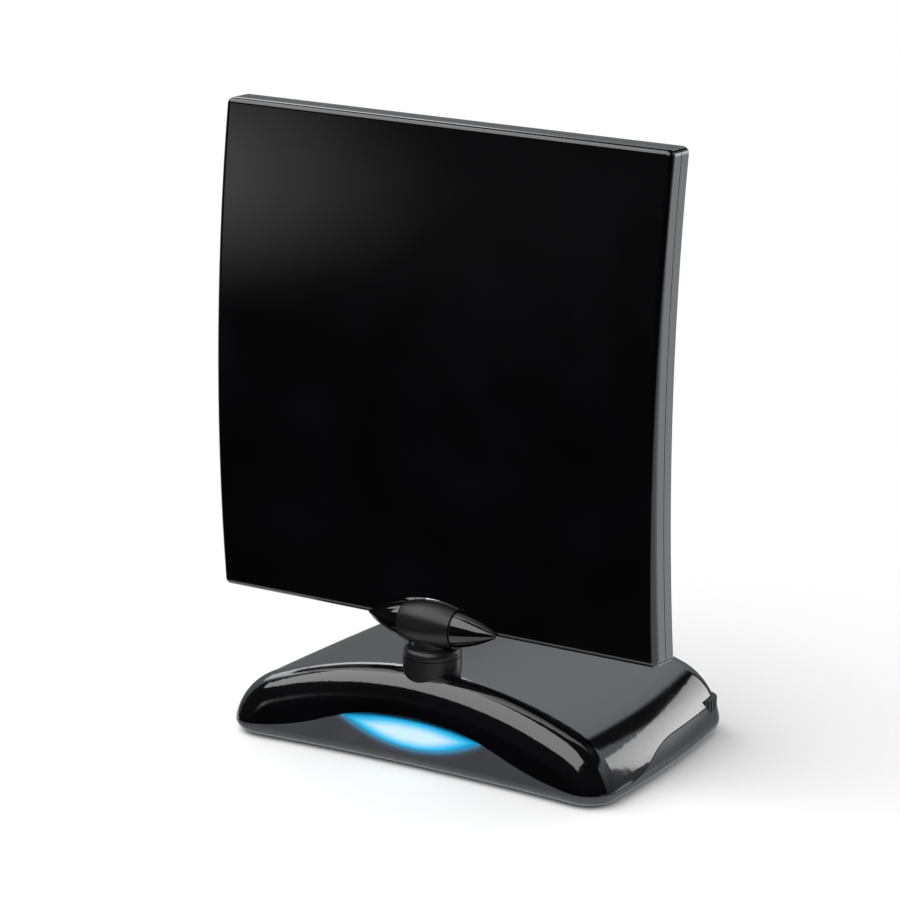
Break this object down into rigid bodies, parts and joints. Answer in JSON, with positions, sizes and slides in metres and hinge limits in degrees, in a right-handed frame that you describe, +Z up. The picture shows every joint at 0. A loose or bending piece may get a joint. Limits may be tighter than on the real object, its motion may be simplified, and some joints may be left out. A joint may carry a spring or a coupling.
{
  "type": "indoor tv antenna",
  "caption": "Indoor television antenna: a bowed square glossy panel that tilts and swivels on a short neck over a weighted arched base with an eye-shaped front light",
  "frame": {"origin": "on the floor under the centre of the overall box", "axes": "+Z up; the panel's face and the light point towards -Y, the front; +X is on the right of someone who faces the front"},
  "size_m": [0.2, 0.1246, 0.2511],
  "materials": {
    "gloss_black": "polished black moulding",
    "satin_grey": "satin dark grey moulding",
    "satin_neck": "satin near-black moulding",
    "lit_lens": "translucent blue, lit from behind",
    "light_chip": "moulded light chip",
    "circuit_board": "solder-mask green",
    "dark_moulding": "matt black moulding",
    "insulation": "smooth cable sheath",
    "core_white": "white insulator",
    "steel": "plain zinc-plated",
    "plated_socket": "nickel plated",
    "copper": "etched copper",
    "washer": "natural low-friction",
    "rubber": "soft black"
  },
  "bodies": {
    "base": {"base_top_cover": "gloss_black", "base_lower_shell": "satin_grey", "light_lens": "lit_lens", "light_board": "circuit_board", "lights": "light_chip", "light_lead": "insulation", "amplifier_board": "circuit_board", "shield_can": "steel", "coax_socket": "plated_socket", "coax_core": "core_white", "power_jack": "dark_moulding", "power_jack_pin": "plated_socket", "gain_potentiometer": "dark_moulding", "gain_lead": "insulation", "ballast_left": "steel", "ballast_right": "steel", "foot_front_left": "rubber", "foot_front_right": "rubber", "foot_back_left": "rubber", "foot_back_right": "rubber", "base_screws": "steel", "board_screws": "steel", "swivel_socket": "satin_neck", "swivel_washer": "washer", "feed_lead_base": "insulation"},
    "neck": {"knuckle": "satin_neck", "swivel_clip": "steel", "feed_lead_neck": "insulation"},
    "panel": {"panel_front_cover": "gloss_black", "panel_rear_cover": "gloss_black", "panel_screws": "steel", "antenna_board": "circuit_board", "copper_element_left": "copper", "copper_element_right": "copper", "balun": "dark_moulding", "trunnion_left": "steel", "trunnion_right": "steel", "friction_washer_left": "dark_moulding", "friction_washer_right": "dark_moulding", "feed_lead_panel": "insulation"},
    "gain_wheel": {"gain_wheel": "satin_neck"}
  },
  "joints": [
    {"name": "swivel", "type": "hinge", "parent": "base", "child": "neck", "pos_m": [0, -0.04354, 0.04], "axis": [0, 0, 1], "range_deg": [-90, 90]},
    {"name": "tilt", "type": "hinge", "parent": "neck", "child": "panel", "pos_m": [0, -0.04354, 0.0553], "axis": [-1, 0, 0], "range_deg": [-10, 75]},
    {"name": "gain_turn", "type": "hinge", "parent": "base", "child": "gain_wheel", "pos_m": [0.07087, 0.03809, 0.0136], "axis": [0, 0, 1], "range_deg": [-135, 135]}
  ]
}
